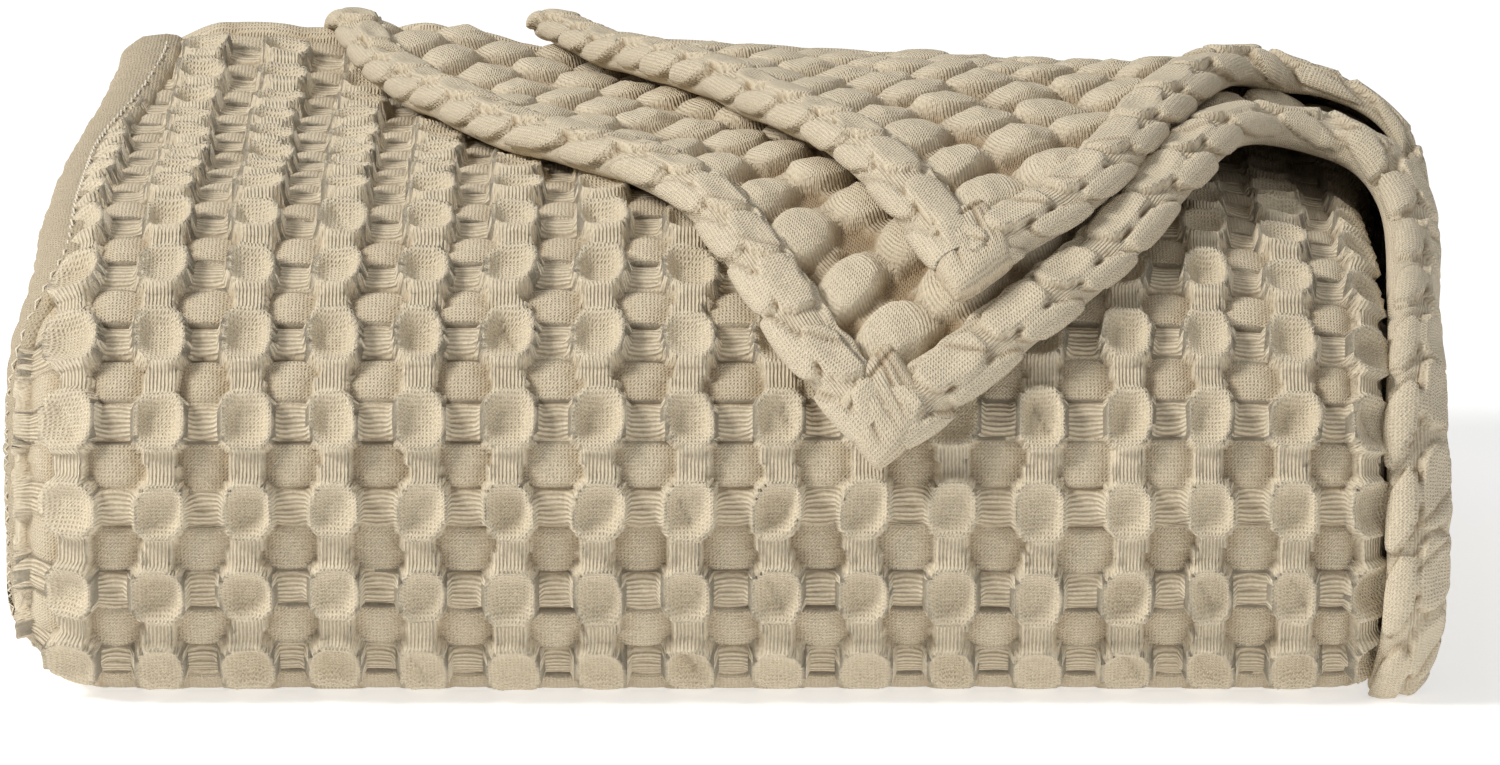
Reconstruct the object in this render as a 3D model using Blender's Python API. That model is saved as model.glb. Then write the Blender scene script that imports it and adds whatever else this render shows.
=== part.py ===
"""Folded throw blanket: a stack of folded cloth in one outer ply, with two loose corners on its front."""

import math

import bmesh
import bpy
import numpy as np
from mathutils import Matrix, Vector

# Driving dimensions, in metres. +X is right, +Y is away from the viewer and +Z is up.
WIDTH = 0.396
CORE_DEPTH = 0.300
CORE_HEIGHT = 0.128
FRONT_Y = -0.1455
GAP = 0.0006
PLY = 0.0070
SHEET = 0.0080
FOLD_COUNT = 5
HEM_RADIUS = 0.0065
HEM_WIDTH = 0.0185
THREAD_RADIUS = 0.0006

# The stack's outline seen from the side: a tight lower front, a long upper front and a round back edge.
WAIST = 0.060
LOWER_REACH = 0.030
UPPER_REACH = 0.092
BACK_RADIUS = 0.030
LEFT_RADIUS = 0.028
RIGHT_RADIUS = 0.014
LEFT_FLAT = -WIDTH / 2 + LEFT_RADIUS
RIGHT_SIDE = 0.180
RIGHT_FLAT = RIGHT_SIDE - RIGHT_RADIUS
BACK_DROOP = 0.11
TOP_PLY_END = 0.308
CORNER_BRIDGE = 0.006

# Lifts above the outer ply: the lower sheet lies on it, and the upper sheet on the lower one.
LOWER_LIFT = 0.0010
UPPER_LIFT = LOWER_LIFT + SHEET + 0.0018
LOWER_HEM_LIFT = LOWER_LIFT + HEM_RADIUS
UPPER_HEM_LIFT = UPPER_LIFT + HEM_RADIUS

# Crease lines of the two loose corners, as lengths up from the stack's waist.
LOWER_CREASE = 0.040
UPPER_CREASE = 0.088
CREASE_GAP = 0.0006

# Hem routes as (across, up from the waist) on the draped surface.
LOWER_TIP = (0.040, 0.012)
UPPER_TIP = (0.062, 0.050)
LOWER_LEFT_ROUTE = [LOWER_TIP, (0.015, 0.040), (-0.012, 0.090), (-0.040, 0.128),
                    (-0.070, 0.168), (-0.092, 0.222), (-0.104, 0.275), (-0.109, 0.326)]
LOWER_RIGHT_ROUTE = [LOWER_TIP, (0.059, 0.024), (0.081, 0.041), (0.106, 0.065),
                     (0.126, 0.096), (0.142, 0.128), (0.156, 0.150), (0.166, 0.155)]
UPPER_LEFT_ROUTE = [UPPER_TIP, (0.046, 0.075), (0.036, 0.093), (0.018, 0.130),
                    (-0.002, 0.175), (-0.020, 0.225), (-0.036, 0.275), (-0.045, 0.316)]
UPPER_RIGHT_ROUTE = [UPPER_TIP, (0.079, 0.062), (0.096, 0.076), (0.112, 0.098),
                     (0.130, 0.140), (0.146, 0.172), (0.160, 0.180), (0.172, 0.176)]
# The hems that hang down the right side, as (across, back from the front, up) in the stack's own box.
LOWER_SIDE_ROUTE = [(0.1745, 0.112, 0.1385), (0.1820, 0.090, 0.1310), (0.1865, 0.062, 0.1190),
                    (0.1870, 0.038, 0.1060), (0.1870, 0.022, 0.0890), (0.1870, 0.012, 0.0650),
                    (0.1870, 0.009, 0.0400), (0.1870, 0.010, 0.0075)]
UPPER_SIDE_ROUTE = [(0.1868, 0.124, 0.1350), (0.1938, 0.090, 0.1150), (0.1938, 0.058, 0.0960),
                    (0.1938, 0.040, 0.0780), (0.1938, 0.030, 0.0550), (0.1938, 0.028, 0.0300),
                    (0.1938, 0.029, 0.0050)]

COTTON = (0.74, 0.68, 0.54, 1.0)
SHADED_COTTON = (0.66, 0.60, 0.47, 1.0)
THREAD = (0.80, 0.75, 0.63, 1.0)

for stale in list(bpy.data.objects):
    bpy.data.objects.remove(stale, do_unlink=True)
bpy.context.scene.unit_settings.scale_length = 1.0
parts = bpy.data.collections.new("folded_throw_blanket")
bpy.context.scene.collection.children.link(parts)


def cloth_material(name, colour, roughness=0.92):
    material = bpy.data.materials.new(name)
    material.use_nodes = True
    shader = material.node_tree.nodes["Principled BSDF"]
    shader.inputs["Base Color"].default_value = colour
    shader.inputs["Roughness"].default_value = roughness
    shader.inputs["Metallic"].default_value = 0.0
    return material


def outline_points():
    """The outer ply's outline as (back, up) points, from under the back edge, round the front, to the back."""
    points = [(CORE_DEPTH - 0.012, 0.0)]
    for turn in np.linspace(0, math.pi / 2, 25):
        reach = math.sin(turn) ** (2 / 2.3)
        rise = math.cos(turn) ** (2 / 2.3)
        points.append((LOWER_REACH * (1 - reach), WAIST * (1 - rise)))
    upper_rise = CORE_HEIGHT - WAIST
    for turn in np.linspace(0, math.pi / 2, 41)[1:]:
        points.append((UPPER_REACH * (1 - math.cos(turn)), WAIST + upper_rise * math.sin(turn)))
    for turn in np.linspace(0, math.pi / 2, 17):
        back = CORE_DEPTH - BACK_RADIUS * (1 - math.sin(turn))
        points.append((back, CORE_HEIGHT - BACK_RADIUS * (1 - math.cos(turn))))
    points.append((CORE_DEPTH, 0.060))
    return np.array(points)


OUTLINE = outline_points()
STEPS = np.hypot(*np.diff(OUTLINE, axis=0).T)
ARC = np.concatenate([[0.0], np.cumsum(STEPS)])
ARC -= ARC[25]
UNDER_END = ARC[0]
TOP_END = ARC[-1]
SLOPES = np.gradient(OUTLINE, ARC, axis=0)


def on_outline(length):
    """Point and outward normal of the outline at this length up from the waist, both as (back, up)."""
    point = np.array([np.interp(length, ARC, OUTLINE[:, k]) for k in range(2)])
    slope = np.array([np.interp(length, ARC, SLOPES[:, k]) for k in range(2)])
    slope /= np.hypot(*slope)
    return point, np.array([-slope[1], slope[0]])


def smooth(low, high, value):
    t = min(max((value - low) / (high - low), 0.0), 1.0)
    return t * t * (3 - 2 * t)


def bridge(across, length):
    """Extra lift where the hanging sheets stand off the front right corner."""
    rise = smooth(0.105, 0.150, across) * smooth(0.060, 0.115, length)
    fade = (1 - smooth(0.20, 0.27, length)) * (1 - smooth(0.160, 0.182, across))
    return CORNER_BRIDGE * rise * fade


def settle(across, back, up):
    """World position of a point in the stack's own box: the back right of the pile has sagged."""
    share = min(max((across + 0.150) / 0.300, 0.0), 1.0)
    droop = BACK_DROOP * smooth(0.150, 0.300, back) * share
    return Vector((across, back + FRONT_Y, up * (1 - droop)))


def drape(across, length, lift):
    """World position on cloth that lies over the stack and rolls round its left and right sides."""
    point, normal = on_outline(length)
    flat, radius, side = across, 0.0, 0.0
    if across < LEFT_FLAT:
        flat, radius, side = LEFT_FLAT, LEFT_RADIUS, -1.0
    if across > RIGHT_FLAT:
        flat, radius, side = RIGHT_FLAT, RIGHT_RADIUS, 1.0
    if not side:
        place = point + normal * lift
        return settle(across, *place)
    roll = min(abs(across - flat) / radius, math.pi / 2)
    beyond = abs(across - flat) - roll * radius
    depth = radius - (radius + lift) * math.cos(roll) + beyond
    place = point - normal * depth
    return settle(flat + side * (radius + lift) * math.sin(roll), *place)


def route_point(route, along):
    """Point at a fraction of a hem route's length, read from a smooth curve through its points."""
    knots = np.array(route)
    spans = np.linalg.norm(np.diff(knots, axis=0), axis=1)
    travel = np.concatenate([[0.0], np.cumsum(spans)])
    aim = along * travel[-1]
    k = min(int(np.searchsorted(travel, aim, side="right")) - 1, len(knots) - 2)
    t = (aim - travel[k]) / spans[k]
    before = knots[max(k - 1, 0)]
    after = knots[min(k + 2, len(knots) - 1)]
    lead = (knots[k + 1] - before) / 2
    trail = (after - knots[k]) / 2
    weights = (2 * t**3 - 3 * t**2 + 1, t**3 - 2 * t**2 + t, -2 * t**3 + 3 * t**2, t**3 - t**2)
    return weights[0] * knots[k] + weights[1] * lead + weights[2] * knots[k + 1] + weights[3] * trail


def across_at(route, length):
    """How far across a hem route is where it crosses this length up from the waist."""
    dense = np.array([route_point(route, f) for f in np.linspace(0, 1, 121)])
    return float(np.interp(length, np.maximum.accumulate(dense[:, 1]), dense[:, 0]))


def fraction_at(route, length):
    fractions = np.linspace(0, 1, 241)
    rises = np.array([route_point(route, f)[1] for f in fractions])
    return float(np.interp(length, np.maximum.accumulate(rises), fractions))


def finish(obj, material, origin=None):
    """Names the material, links the object and moves its origin to its joint's axis."""
    obj.data.materials.append(material)
    parts.objects.link(obj)
    if origin is not None:
        obj.data.transform(Matrix.Translation(-origin))
        obj.location = origin
    return obj


def sheet(name, columns, rows, place, top, thickness, material, origin=None):
    """A flat slab bent over the stack: place(column, row) gives its across and length, top its outer lift."""
    mesh = bpy.data.meshes.new(name)
    slab = bmesh.new()
    bmesh.ops.create_grid(slab, x_segments=len(columns) - 1, y_segments=len(rows) - 1, size=0.5)
    grown = bmesh.ops.extrude_face_region(slab, geom=slab.faces[:])
    raised = [item for item in grown["geom"] if isinstance(item, bmesh.types.BMVert)]
    bmesh.ops.translate(slab, verts=raised, vec=(0, 0, 1))
    for vertex in slab.verts:
        column = np.interp(vertex.co.x + 0.5, np.linspace(0, 1, len(columns)), columns)
        row = np.interp(vertex.co.y + 0.5, np.linspace(0, 1, len(rows)), rows)
        across, length = place(column, row)
        lift = top + bridge(across, length) * (top > 0.002) - thickness * (1 - vertex.co.z)
        vertex.co = drape(across, length, lift)
    bmesh.ops.recalc_face_normals(slab, faces=slab.faces)
    slab.to_mesh(mesh)
    slab.free()
    mesh.shade_smooth()
    mesh.set_sharp_from_angle(angle=math.radians(50))
    return finish(bpy.data.objects.new(name, mesh), material, origin)


def rope(name, places, radius, material, origin=None, resolution=2):
    """A rolled hem or a thread: a round tube through these world positions, with filled ends."""
    curve = bpy.data.curves.new(name, "CURVE")
    curve.dimensions = "3D"
    curve.bevel_depth = radius
    curve.bevel_resolution = resolution
    curve.use_fill_caps = True
    line = curve.splines.new("POLY")
    line.points.add(len(places) - 1)
    for point, place in zip(line.points, places):
        point.co = (*place, 1.0)
    return finish(bpy.data.objects.new(name, curve), material, origin)


def hem_run(route, lift, start, end, step=0.011):
    """World positions along a draped hem between two fractions of its route."""
    length = sum(math.dist(a, b) for a, b in zip(route, route[1:])) * (end - start)
    count = max(int(length / step), 2) + 1
    found = []
    for fraction in np.linspace(start, end, count):
        across, rise = route_point(route, fraction)
        found.append(drape(across, rise, lift + bridge(across, rise)))
    return found


def side_run(route, step=0.011):
    length = sum(math.dist(a, b) for a, b in zip(route, route[1:]))
    fractions = np.linspace(0, 1, int(length / step) + 1)
    return [settle(*route_point(route, fraction)) for fraction in fractions]


def left_edge(length):
    """Where the outer ply's left edge ends: it wraps the side low down and draws back over the top."""
    reach = LEFT_RADIUS * math.pi / 2
    drawn = 0.017 * smooth(0.020, 0.080, length) + 0.012 * smooth(0.200, 0.300, length)
    return LEFT_FLAT - reach + drawn


def outer_ply():
    """The outer ply wraps the stack: under it, up its front and over its top."""
    rows = np.concatenate([
        np.linspace(UNDER_END + HEM_WIDTH, -0.085, 9),
        np.linspace(-0.078, 0.112, 24),
        np.linspace(0.130, 0.300, 9),
        [0.304, TOP_PLY_END],
    ])
    roll = RIGHT_FLAT + RIGHT_RADIUS * math.pi / 2 * 0.98
    inner = LEFT_FLAT + 0.012

    def place(column, row):
        edge = left_edge(row) + HEM_WIDTH + GAP
        if column <= 1:
            return edge + (inner - edge) * column, row
        if column <= 2:
            return inner + (RIGHT_FLAT - inner) * (column - 1), row
        return RIGHT_FLAT + (roll - RIGHT_FLAT) * (column - 2), row

    columns = [0, 0.25, 0.5, 0.75, 1.0, 1.25, 1.5, 1.75, 2.0, 2.25, 2.5, 2.75, 3.0]
    sheet("outer_ply", columns, rows, place, 0.0, PLY, cotton)
    sheet("outer_ply_left_hem", [0.0, 0.33, 0.66, 1.0], rows,
          lambda a, s: (left_edge(s) + HEM_WIDTH * a, s), 0.0010, 0.0088, cotton)
    hem_columns = np.linspace(LEFT_FLAT + 0.004, RIGHT_FLAT + 0.004, 7)
    for name, start, end in (
        ("outer_ply_back_hem_under", UNDER_END, UNDER_END + HEM_WIDTH - GAP),
        ("outer_ply_back_hem_top", TOP_PLY_END + GAP, TOP_PLY_END + HEM_WIDTH),
    ):
        rows_here = np.linspace(start, end, 6)
        sheet(name, hem_columns, rows_here, lambda a, s: (a, s), 0.0, 0.0076, cotton)
    stitch_rows = np.linspace(UNDER_END + 0.05, 0.305, 64)
    clear = 0.0010 + 0.0006 + THREAD_RADIUS
    places = [drape(left_edge(s) + HEM_WIDTH * 0.82, s, clear) for s in stitch_rows]
    rope("outer_ply_hem_thread", places, THREAD_RADIUS, thread, resolution=0)


def inner_folds():
    """Flat bundles of doubled cloth that fill the outer ply, each with round folded edges."""
    room = CORE_HEIGHT - 2 * PLY - 0.0030
    height = (room - (FOLD_COUNT - 1) * GAP) / FOLD_COUNT
    left_ends = (-0.1800, -0.1865, -0.1860, -0.1868, -0.1795)
    back_ends = (0.2925, 0.2975, 0.2945, 0.2960, 0.2830)
    for k in range(FOLD_COUNT):
        low = PLY + 0.0012 + k * (height + GAP)
        middle = low + height / 2
        reach = [np.interp(z, OUTLINE[:66, 1], OUTLINE[:66, 0]) for z in (low + 0.003, low + height - 0.003)]
        over = np.interp(low + height + PLY + 0.0006, OUTLINE[:66, 1], OUTLINE[:66, 0])
        front = max(max(reach) + PLY + 0.0050, over - 0.0070)
        back = back_ends[k]
        left = left_ends[k]
        right = RIGHT_SIDE - PLY - 0.004
        bpy.ops.mesh.primitive_cube_add(size=1.0)
        obj = bpy.context.object
        obj.name = f"inner_fold_{k + 1}"
        bpy.context.collection.objects.unlink(obj)
        bm = bmesh.new()
        bm.from_mesh(obj.data)
        bmesh.ops.scale(bm, verts=bm.verts, vec=(right - left, back - front, height))
        bmesh.ops.bevel(bm, geom=bm.edges[:], offset=height * 0.46, segments=3, profile=0.5, affect="EDGES")
        across = [edge for edge in bm.edges if abs(edge.verts[0].co.x - edge.verts[1].co.x) > 0.1]
        bmesh.ops.subdivide_edges(bm, edges=across, cuts=5)
        deep = [edge for edge in bm.edges if abs(edge.verts[0].co.y - edge.verts[1].co.y) > 0.1]
        bmesh.ops.subdivide_edges(bm, edges=deep, cuts=5)
        for vertex in bm.verts:
            place = vertex.co + Vector(((left + right) / 2, (front + back) / 2, middle))
            vertex.co = settle(*place)
        bm.to_mesh(obj.data)
        bm.free()
        obj.data.shade_smooth()
        finish(obj, shaded_cotton)


def draped_panel(name, left_route, right_route, lift, crease, end, material):
    """The part of a sheet that lies on top: between its two hems, back to the back edge."""
    clear = (HEM_RADIUS + GAP) * 1.12
    roll_end = RIGHT_FLAT + RIGHT_RADIUS * math.pi / 2
    turn_row = max(point[1] for point in right_route)
    open_row = turn_row + clear
    full_row = open_row + 0.026

    def place(column, row):
        left = across_at(left_route, row - 0.6 * clear) + 0.95 * clear
        right = across_at(right_route, min(row, open_row) - clear) - 0.85 * clear
        opened = min(max((row - open_row) / (full_row - open_row), 0.0), 1.0)
        right += (RIGHT_FLAT - right) * opened
        if column <= 1:
            return left + (right - left) * column, row
        reach = 0.002 + (roll_end - RIGHT_FLAT - 0.002) * opened
        return right + reach * (column - 1), row

    low_rows = np.linspace(crease + CREASE_GAP, open_row, 14)
    high_rows = np.concatenate([np.linspace(full_row, 0.295, 7), np.linspace(0.299, end, 4)])
    columns = [0, 0.2, 0.4, 0.6, 0.8, 1.0, 1.2, 1.4, 1.6, 1.8, 2.0]
    rows = np.concatenate([low_rows, np.linspace(open_row, full_row, 5)[1:-1], high_rows])
    return sheet(name, columns, rows, place, lift + SHEET, SHEET, material)


def corner_panel(name, left_route, right_route, lift, tip, crease, material, origin):
    """The loose corner of a sheet, from its crease down to its tip."""
    clear = HEM_RADIUS + GAP

    def place(column, row):
        left = across_at(left_route, row - 0.6 * clear) + 0.95 * clear
        right = max(across_at(right_route, row - clear) - 0.85 * clear, left + 0.002)
        return left + (right - left) * column, row

    rows = np.linspace(tip[1] + 0.0165, crease - CREASE_GAP, 5)
    return sheet(name, np.linspace(0, 1, 5), rows, place, lift + SHEET, SHEET, material, origin)


def corner_tip(name, tip, lift, material, origin):
    """The squared corner where the two hems meet, four plies thick."""
    size = 0.0072

    def place(column, row):
        return tip[0] + column + row * 0.9, tip[1] + 0.0018 + row - column * 0.45

    stations = np.linspace(-size, size, 3)
    return sheet(name, stations, stations, place, lift + 0.0125, 0.0120, material, origin)


def side_panel(name, route, inner_x, thickness, clear, material):
    """The part of a sheet that hangs down the right side: a flat outline behind its front hem."""
    top = CORE_HEIGHT - RIGHT_RADIUS - GAP
    dense = [route_point(route, f) for f in np.linspace(0, 1, 80)]
    front = [(p[1], p[2]) for p in dense if p[2] < top]
    shifted = []
    for a, b in zip(front, front[1:]):
        run = np.array(b) - np.array(a)
        run /= np.hypot(*run)
        shifted.append((a[0] - run[1] * clear, a[1] + run[0] * clear))
    outline = [p for p in shifted[::6] if 0.0006 < p[1] < top]
    outline = [(max(p[0], 0.0), p[1]) for p in outline]
    outline.append((outline[-1][0], 0.0006))
    radius = BACK_RADIUS - RIGHT_RADIUS - 2 * GAP
    centre = (CORE_DEPTH - BACK_RADIUS, CORE_HEIGHT - BACK_RADIUS)
    outline += [(centre[0] + radius - 0.006, 0.0006), (centre[0] + radius, 0.008)]
    for turn in np.linspace(0, math.pi / 2, 5):
        outline.append((centre[0] + radius * math.cos(turn), centre[1] + radius * math.sin(turn)))
    outline.append((0.210, top))
    outline.append((0.150, top))
    outline.append((outline[0][0] + 0.014, top))
    mesh = bpy.data.meshes.new(name)
    bm = bmesh.new()
    ring = [bm.verts.new((inner_x, y, z)) for y, z in outline]
    face = bm.faces.new(ring)
    grown = bmesh.ops.extrude_face_region(bm, geom=[face])
    moved = [item for item in grown["geom"] if isinstance(item, bmesh.types.BMVert)]
    bmesh.ops.translate(bm, verts=moved, vec=(thickness, 0, 0))
    for vertex in bm.verts:
        vertex.co = settle(*vertex.co)
    bmesh.ops.recalc_face_normals(bm, faces=bm.faces)
    bmesh.ops.triangulate(bm, faces=bm.faces)
    bm.to_mesh(mesh)
    bm.free()
    return finish(bpy.data.objects.new(name, mesh), material)


def loose_sheet(layer, left_route, right_route, side_route, lift, tip, crease, side_x, side_radius):
    """One doubled sheet: its top and side panels, its hems, and its loose corner on a crease."""
    hem_lift = lift + HEM_RADIUS
    pivot = crease_pivot(crease, lift)
    end = 0.318 if layer == "lower" else 0.302
    draped_panel(f"{layer}_sheet_top", left_route, right_route, lift, crease, end, cotton)
    side_panel(f"{layer}_sheet_side", side_route, side_x, SHEET - 0.0008, side_radius + 0.0022, cotton)
    split = HEM_RADIUS * 0.55 + CREASE_GAP
    left_split = fraction_at(left_route, crease + CREASE_GAP)
    left_corner = fraction_at(left_route, crease - split)
    right_split = fraction_at(right_route, crease + CREASE_GAP + 0.004)
    right_corner = fraction_at(right_route, crease - split)
    left_start = fraction_at(left_route, tip[1] + 0.0122)
    right_start = fraction_at(right_route, tip[1] + 0.0112)
    rope(f"{layer}_left_hem", hem_run(left_route, hem_lift, left_split, 1.0), HEM_RADIUS, cotton)
    rope(f"{layer}_front_hem", hem_run(right_route, hem_lift, right_split, 1.0), HEM_RADIUS, cotton)
    rope(f"{layer}_side_hem", side_run(side_route), side_radius, cotton)
    corner_panel(f"{layer}_corner_sheet", left_route, right_route, lift, tip, crease, cotton, pivot)
    for side, route, start, stop in (
        ("left", left_route, left_start, left_corner),
        ("right", right_route, right_start, right_corner),
    ):
        places = hem_run(route, hem_lift, start, stop)
        rope(f"{layer}_corner_{side}_hem", places, HEM_RADIUS, cotton, pivot)
    corner_tip(f"{layer}_corner_tip", tip, lift, cotton, pivot)
    back_columns = np.linspace(across_at(left_route, end) + 0.010, RIGHT_FLAT - 0.004, 7)
    back_rows = np.linspace(end + GAP, end + HEM_WIDTH, 5)
    sheet(f"{layer}_back_hem", back_columns, back_rows, lambda a, s: (a, s), lift + SHEET, SHEET, cotton)


def crease_pivot(crease, lift):
    """A point of the crease line, at the outer surface of its sheet."""
    return drape(0.070, crease, lift + SHEET)


cotton = cloth_material("waffle_cotton", COTTON)
shaded_cotton = cloth_material("inner_cotton", SHADED_COTTON)
thread = cloth_material("sewing_thread", THREAD, 0.8)

outer_ply()
inner_folds()
loose_sheet("lower", LOWER_LEFT_ROUTE, LOWER_RIGHT_ROUTE, LOWER_SIDE_ROUTE, LOWER_LIFT,
            LOWER_TIP, LOWER_CREASE, RIGHT_SIDE + LOWER_LIFT, HEM_RADIUS)
loose_sheet("upper", UPPER_LEFT_ROUTE, UPPER_RIGHT_ROUTE, UPPER_SIDE_ROUTE, UPPER_LIFT,
            UPPER_TIP, UPPER_CREASE, RIGHT_SIDE + UPPER_LIFT, 0.0039)
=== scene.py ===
import math

import bpy
import numpy as np
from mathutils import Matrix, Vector


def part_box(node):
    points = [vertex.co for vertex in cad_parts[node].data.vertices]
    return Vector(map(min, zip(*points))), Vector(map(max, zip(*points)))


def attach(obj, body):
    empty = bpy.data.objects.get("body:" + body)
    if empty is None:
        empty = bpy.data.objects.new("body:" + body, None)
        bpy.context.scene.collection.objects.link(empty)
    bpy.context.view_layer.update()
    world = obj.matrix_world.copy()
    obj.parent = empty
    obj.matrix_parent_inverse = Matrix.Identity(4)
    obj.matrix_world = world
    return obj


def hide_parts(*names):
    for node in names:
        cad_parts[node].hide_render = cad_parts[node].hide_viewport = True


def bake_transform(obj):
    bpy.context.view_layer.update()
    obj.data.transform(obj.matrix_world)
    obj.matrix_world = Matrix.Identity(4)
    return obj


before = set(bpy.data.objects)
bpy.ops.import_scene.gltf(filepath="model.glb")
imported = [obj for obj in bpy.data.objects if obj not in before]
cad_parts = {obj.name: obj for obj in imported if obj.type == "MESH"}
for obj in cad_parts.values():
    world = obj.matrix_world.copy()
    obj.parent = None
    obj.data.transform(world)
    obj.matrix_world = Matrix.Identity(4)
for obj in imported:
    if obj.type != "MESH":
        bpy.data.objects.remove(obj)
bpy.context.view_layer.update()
print("frame loaded")

# the pile the cloth lies on, read from the frame, in metres
plyLow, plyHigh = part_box("outer_ply")
pile = {
    "frontY": plyLow[1],
    "depth": 0.300,
    "height": plyHigh[2],
    "waist": 0.060,
    "lowerReach": 0.030,
    "upperReach": 0.092,
    "lowerPower": 2.3,
    "backRadius": 0.030,
    "leftRadius": 0.028,
    "rightRadius": 0.014,
    "leftSide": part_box("outer_ply_left_hem")[0][0] + 0.001,
    "rightSide": plyHigh[0],
    "droop": 0.140,  # how far the back right has sagged
    "hump": 0.085,  # how far the back left stands up
    "shoulder": 0.085,  # how far the top right edge is rounded down
    "bridge": 0.0105,  # how far the hanging sheets stand off the front right corner
}
pile["leftFlat"] = pile["leftSide"] + pile["leftRadius"]
pile["rightFlat"] = pile["rightSide"] - pile["rightRadius"]
quarter = math.pi / 2


def smooth(low, high, value):
    t = np.clip((value - low) / (high - low), 0, 1)
    return t * t * (3 - 2 * t)


def sink(height, floor, low, high, value):
    # height goes down to floor as value goes from low to high
    return height + (floor - height) * smooth(low, high, value)


def bell(value, width):
    # 1 at nought, fading to either side
    return np.exp(-((value / width) ** 2))


def cellNoise(i, j, seed):
    # one fixed value from 0 to 1 for each cell of the weave
    return np.modf(np.abs(np.sin(i * 127.1 + j * 311.7 + seed * 74.7) * 43758.5453))[0]


def waves(x, y, seed, size):
    # smooth unevenness from -1 to 1, size is its wavelength
    total = 0
    for k in range(4):
        turn = seed * 1.7 + k * 2.4
        scale = 2 * math.pi / (size * (0.7 + 0.23 * k))
        total = total + np.sin((x * math.cos(turn) + y * math.sin(turn)) * scale + seed * 5.1 + k * 1.9)
    return total / 4


def unit(vectors):
    return vectors / np.linalg.norm(vectors, axis=-1)[..., None]


def travelled(points):
    return np.concatenate([[0], np.cumsum(np.linalg.norm(np.diff(points, axis=0), axis=1))])


def evenSteps(points, step):
    travel = travelled(points)
    places = np.linspace(0, travel[-1], int(travel[-1] / step) + 1)
    return np.stack([np.interp(places, travel, points[:, k]) for k in range(points.shape[1])], axis=-1)


def outlineCurve():
    # side view of the pile as back and up, from under the back, round the front, to the back
    p = pile
    points = [(p["depth"] - 0.012, 0.0)]
    for turn in np.linspace(0, quarter, 49):
        reach = math.sin(turn) ** (2 / p["lowerPower"])
        rise = math.cos(turn) ** (2 / p["lowerPower"])
        points.append((p["lowerReach"] * (1 - reach), p["waist"] * (1 - rise)))
    waistRow = len(points) - 1
    for turn in np.linspace(0, quarter, 81)[1:]:
        back = p["upperReach"] * (1 - math.cos(turn))
        points.append((back, p["waist"] + (p["height"] - p["waist"]) * math.sin(turn)))
    for turn in np.linspace(0, quarter, 33):
        back = p["depth"] - p["backRadius"] * (1 - math.sin(turn))
        points.append((back, p["height"] - p["backRadius"] * (1 - math.cos(turn))))
    points.append((p["depth"], 0.06))
    points = np.array(points)
    arc = travelled(points)
    return points, arc - arc[waistRow]


outline, outlineArc = outlineCurve()
outlineSlope = np.gradient(outline, outlineArc, axis=0)
underEnd = outlineArc[0]


def bridgeLift(across, length):
    rise = smooth(0.095, 0.150, across) * smooth(0.060, 0.125, length)
    return pile["bridge"] * rise * (1 - smooth(0.17, 0.25, length)) * (1 - smooth(0.170, 0.192, across))


def settle(x, back, up):
    share = np.clip((x + 0.150) / 0.260, 0, 1) ** 0.7
    sag = pile["droop"] * smooth(0.150, 0.300, back) * share
    sag = sag + pile["shoulder"] * smooth(0.120, 0.200, x) * smooth(0.060, 0.150, up)
    raised = pile["hump"] * smooth(0.190, 0.285, back) * (1 - smooth(-0.095, -0.015, x))
    raised = raised * smooth(0.02, 0.12, up) * (0.55 + 0.45 * smooth(-0.190, -0.130, x))
    return np.stack([x, back + pile["frontY"], up * (1 - sag + raised)], axis=-1)


def drape(across, length, lift, hanging=False):
    # a place on cloth over the pile: across it, up from its waist, and lifted off it
    across, length, lift = np.broadcast_arrays(across, length, lift)
    back = np.interp(length, outlineArc, outline[:, 0])
    up = np.interp(length, outlineArc, outline[:, 1])
    slopeBack = np.interp(length, outlineArc, outlineSlope[:, 0])
    slopeUp = np.interp(length, outlineArc, outlineSlope[:, 1])
    size = np.hypot(slopeBack, slopeUp)
    normalBack, normalUp = -slopeUp / size, slopeBack / size
    right = across > pile["rightFlat"]
    left = across < pile["leftFlat"]
    flat = np.where(right, pile["rightFlat"], np.where(left, pile["leftFlat"], across))
    radius = np.where(right, pile["rightRadius"], pile["leftRadius"])
    past = np.abs(across - flat)
    roll = np.minimum(past / radius, quarter)
    beyond = past - roll * radius
    depth = np.where(right | left, radius - (radius + lift) * np.cos(roll), -lift)
    if hanging:
        # a hanging sheet drops straight down past the right edge
        share = np.where(right, smooth(0, quarter, roll), 0)
        normalBack = normalBack * (1 - share)
        normalUp = normalUp * (1 - share) + share
        size = np.hypot(normalBack, normalUp)
        normalBack, normalUp = normalBack / size, normalUp / size
    depth = depth + beyond
    x = flat + np.where(right, 1, -1) * np.where(right | left, (radius + lift) * np.sin(roll), 0)
    if hanging:
        low = 1 - np.clip((up - normalUp * depth) / 0.042, 0, 1)
        x = x - np.where(right, 0.006 * low * low, 0)  # its end curls in at the floor
        back = back + np.where(right, 0.024 * low ** 2.3 * (1 - smooth(0.060, 0.150, length)), 0)
    return settle(x, back - normalBack * depth, up - normalUp * depth)


def keepAbove(points, low):
    points[..., 2] = np.maximum(points[..., 2], low)
    return points


def gridFaces(rows, columns):
    index = np.arange(rows * columns).reshape(rows, columns)
    corners = [index[:-1, :-1], index[:-1, 1:], index[1:, 1:], index[1:, :-1]]
    return np.stack([c.ravel() for c in corners], axis=-1)


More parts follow.
